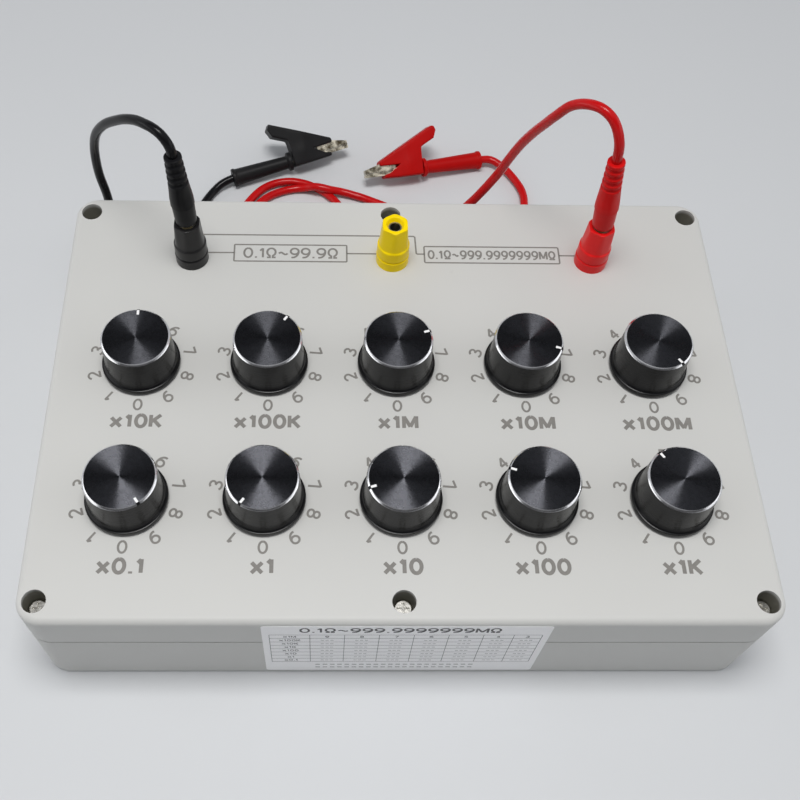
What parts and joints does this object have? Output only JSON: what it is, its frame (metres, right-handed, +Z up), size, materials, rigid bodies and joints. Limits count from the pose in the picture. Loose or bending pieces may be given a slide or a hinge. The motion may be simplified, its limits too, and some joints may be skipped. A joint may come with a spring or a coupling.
{
  "type": "decade resistance box",
  "caption": "Grey moulded bench resistance box with rows of pointer-knob decade switches, screw terminals with 4 mm sockets, and plugged test leads that end in crocodile clips.",
  "frame": {"origin": "middle of the box's underside, where it stands on the bench", "axes": "+X along the front of the box to the right, +Y to the back, +Z up through the panel"},
  "size_m": [0.262, 0.2706, 0.1316],
  "materials": {
    "enclosure_grey": "fine moulded texture",
    "gasket_rubber": "matte",
    "screw_steel": "bright zinc plating",
    "insert_brass": "turned",
    "switch_plastic": "moulded",
    "nut_steel": "nickel plating",
    "board_green": "solder mask",
    "resistor_blue": "lacquer",
    "wire_red": "insulation",
    "stud_nickel": "nickel plating",
    "terminal_black": "moulded",
    "terminal_yellow": "moulded",
    "terminal_red": "moulded",
    "knob_black": "spun and black anodised, bright cut edge",
    "shaft_steel": "turned",
    "lead_black": "soft glossy jacket",
    "lead_red": "soft glossy jacket",
    "boot_black": "soft moulded",
    "boot_red": "soft moulded",
    "pin_plated": "plated",
    "jaw_nickel": "nickel plating",
    "spring_steel": "wire"
  },
  "bodies": {
    "box": {"base_box": "enclosure_grey", "lid": "enclosure_grey", "gasket": "gasket_rubber", "lid_screws": "screw_steel", "thread_inserts": "insert_brass", "switch_bodies": "switch_plastic", "switch_nuts": "nut_steel", "circuit_board": "board_green", "resistors": "resistor_blue", "link_wires": "wire_red", "terminal_studs": "stud_nickel", "terminal_nuts": "stud_nickel", "terminal_collar_black": "terminal_black", "terminal_collar_yellow": "terminal_yellow", "terminal_collar_red": "terminal_red", "lead_bundle_black": "lead_black", "lead_far_black": "lead_black", "clip_boot_black": "boot_black", "lead_bundle_red": "lead_red", "lead_far_red": "lead_red", "clip_boot_red": "boot_red", "clip_lower_jaws": "jaw_nickel", "clip_pivots": "screw_steel", "clip_springs": "spring_steel"},
    "dial_tenths": {"knob_tenths": "knob_black", "shaft_tenths": "shaft_steel"},
    "dial_ones": {"knob_ones": "knob_black", "shaft_ones": "shaft_steel"},
    "dial_tens": {"knob_tens": "knob_black", "shaft_tens": "shaft_steel"},
    "dial_hundreds": {"knob_hundreds": "knob_black", "shaft_hundreds": "shaft_steel"},
    "dial_1k": {"knob_1k": "knob_black", "shaft_1k": "shaft_steel"},
    "dial_10k": {"knob_10k": "knob_black", "shaft_10k": "shaft_steel"},
    "dial_100k": {"knob_100k": "knob_black", "shaft_100k": "shaft_steel"},
    "dial_1m": {"knob_1m": "knob_black", "shaft_1m": "shaft_steel"},
    "dial_10m": {"knob_10m": "knob_black", "shaft_10m": "shaft_steel"},
    "dial_100m": {"knob_100m": "knob_black", "shaft_100m": "shaft_steel"},
    "cap_thread_black": {"terminal_sleeve_black": "insert_brass"},
    "cap_black": {"terminal_cap_black": "terminal_black"},
    "cap_thread_yellow": {"terminal_sleeve_yellow": "insert_brass"},
    "cap_yellow": {"terminal_cap_yellow": "terminal_yellow"},
    "cap_thread_red": {"terminal_sleeve_red": "insert_brass"},
    "cap_red": {"terminal_cap_red": "terminal_red"},
    "plug_black": {"plug_sleeve_black": "boot_black", "plug_pin_black": "pin_plated", "lead_near_black": "lead_black"},
    "plug_red": {"plug_sleeve_red": "boot_red", "plug_pin_red": "pin_plated", "lead_near_red": "lead_red"},
    "clip_jaw_black": {"clip_lever_black": "boot_black", "clip_upper_jaw_black": "jaw_nickel"},
    "clip_jaw_red": {"clip_lever_red": "boot_red", "clip_upper_jaw_red": "jaw_nickel"}
  },
  "joints": [
    {"name": "dial_tenths_turn", "type": "hinge", "parent": "box", "child": "dial_tenths", "pos_m": [-0.0969, -0.0471, 0.0545], "axis": [0, 0, 1], "range_deg": [0, 324]},
    {"name": "dial_ones_turn", "type": "hinge", "parent": "box", "child": "dial_ones", "pos_m": [-0.04845, -0.0471, 0.0545], "axis": [0, 0, 1], "range_deg": [-288, 36]},
    {"name": "dial_tens_turn", "type": "hinge", "parent": "box", "child": "dial_tens", "pos_m": [0, -0.0471, 0.0545], "axis": [0, 0, 1], "range_deg": [-252, 72]},
    {"name": "dial_hundreds_turn", "type": "hinge", "parent": "box", "child": "dial_hundreds", "pos_m": [0.04845, -0.0471, 0.0545], "axis": [0, 0, 1], "range_deg": [-216, 108]},
    {"name": "dial_1k_turn", "type": "hinge", "parent": "box", "child": "dial_1k", "pos_m": [0.0969, -0.0471, 0.0545], "axis": [0, 0, 1], "range_deg": [-180, 144]},
    {"name": "dial_10k_turn", "type": "hinge", "parent": "box", "child": "dial_10k", "pos_m": [-0.0969, 0.0102, 0.0545], "axis": [0, 0, 1], "range_deg": [-144, 180]},
    {"name": "dial_100k_turn", "type": "hinge", "parent": "box", "child": "dial_100k", "pos_m": [-0.04845, 0.0102, 0.0545], "axis": [0, 0, 1], "range_deg": [-108, 216]},
    {"name": "dial_1m_turn", "type": "hinge", "parent": "box", "child": "dial_1m", "pos_m": [0, 0.0102, 0.0545], "axis": [0, 0, 1], "range_deg": [-72, 252]},
    {"name": "dial_10m_turn", "type": "hinge", "parent": "box", "child": "dial_10m", "pos_m": [0.04845, 0.0102, 0.0545], "axis": [0, 0, 1], "range_deg": [-36, 288]},
    {"name": "dial_100m_turn", "type": "hinge", "parent": "box", "child": "dial_100m", "pos_m": [0.0969, 0.0102, 0.0545], "axis": [0, 0, 1], "range_deg": [0, 324]},
    {"name": "cap_black_rise", "type": "slide", "parent": "box", "child": "cap_thread_black", "axis": [0, 0, 1], "range_m": [0, 0.0006]},
    {"name": "cap_black_turn", "type": "hinge", "parent": "cap_thread_black", "child": "cap_black", "pos_m": [-0.0812, 0.0615, 0.0645], "axis": [0, 0, 1], "range_deg": [0, 271]},
    {"name": "cap_yellow_rise", "type": "slide", "parent": "box", "child": "cap_thread_yellow", "axis": [0, 0, 1], "range_m": [0, 0.006]},
    {"name": "cap_yellow_turn", "type": "hinge", "parent": "cap_thread_yellow", "child": "cap_yellow", "pos_m": [0, 0.0615, 0.0645], "axis": [0, 0, 1], "range_deg": [0, 2701]},
    {"name": "cap_red_rise", "type": "slide", "parent": "box", "child": "cap_thread_red", "axis": [0, 0, 1], "range_m": [0, 0.0006]},
    {"name": "cap_red_turn", "type": "hinge", "parent": "cap_thread_red", "child": "cap_red", "pos_m": [0.0812, 0.0615, 0.0645], "axis": [0, 0, 1], "range_deg": [0, 271]},
    {"name": "plug_black_pull", "type": "slide", "parent": "box", "child": "plug_black", "axis": [0, 0, 1], "range_m": [0, 0.02]},
    {"name": "plug_red_pull", "type": "slide", "parent": "box", "child": "plug_red", "axis": [0, 0, 1], "range_m": [0, 0.02]},
    {"name": "clip_black_open", "type": "hinge", "parent": "box", "child": "clip_jaw_black", "pos_m": [-0.03781, 0.16646, 0.0087], "axis": [0.1764, -0.6196, 0.7648], "range_deg": [0, 25], "stiffness_Nm_per_rad": 0.05, "springref_deg": -34.38},
    {"name": "clip_red_open", "type": "hinge", "parent": "box", "child": "clip_jaw_red", "pos_m": [0.01227, 0.15869, 0.0087], "axis": [-0.1959, 0.6137, -0.7648], "range_deg": [0, 25], "stiffness_Nm_per_rad": 0.05, "springref_deg": -34.38}
  ],
  "couplings": [
    {"joint": "cap_black_turn", "follows": "cap_black_rise", "rad_per_m": 7854},
    {"joint": "cap_yellow_turn", "follows": "cap_yellow_rise", "rad_per_m": 7854},
    {"joint": "cap_red_turn", "follows": "cap_red_rise", "rad_per_m": 7854}
  ]
}
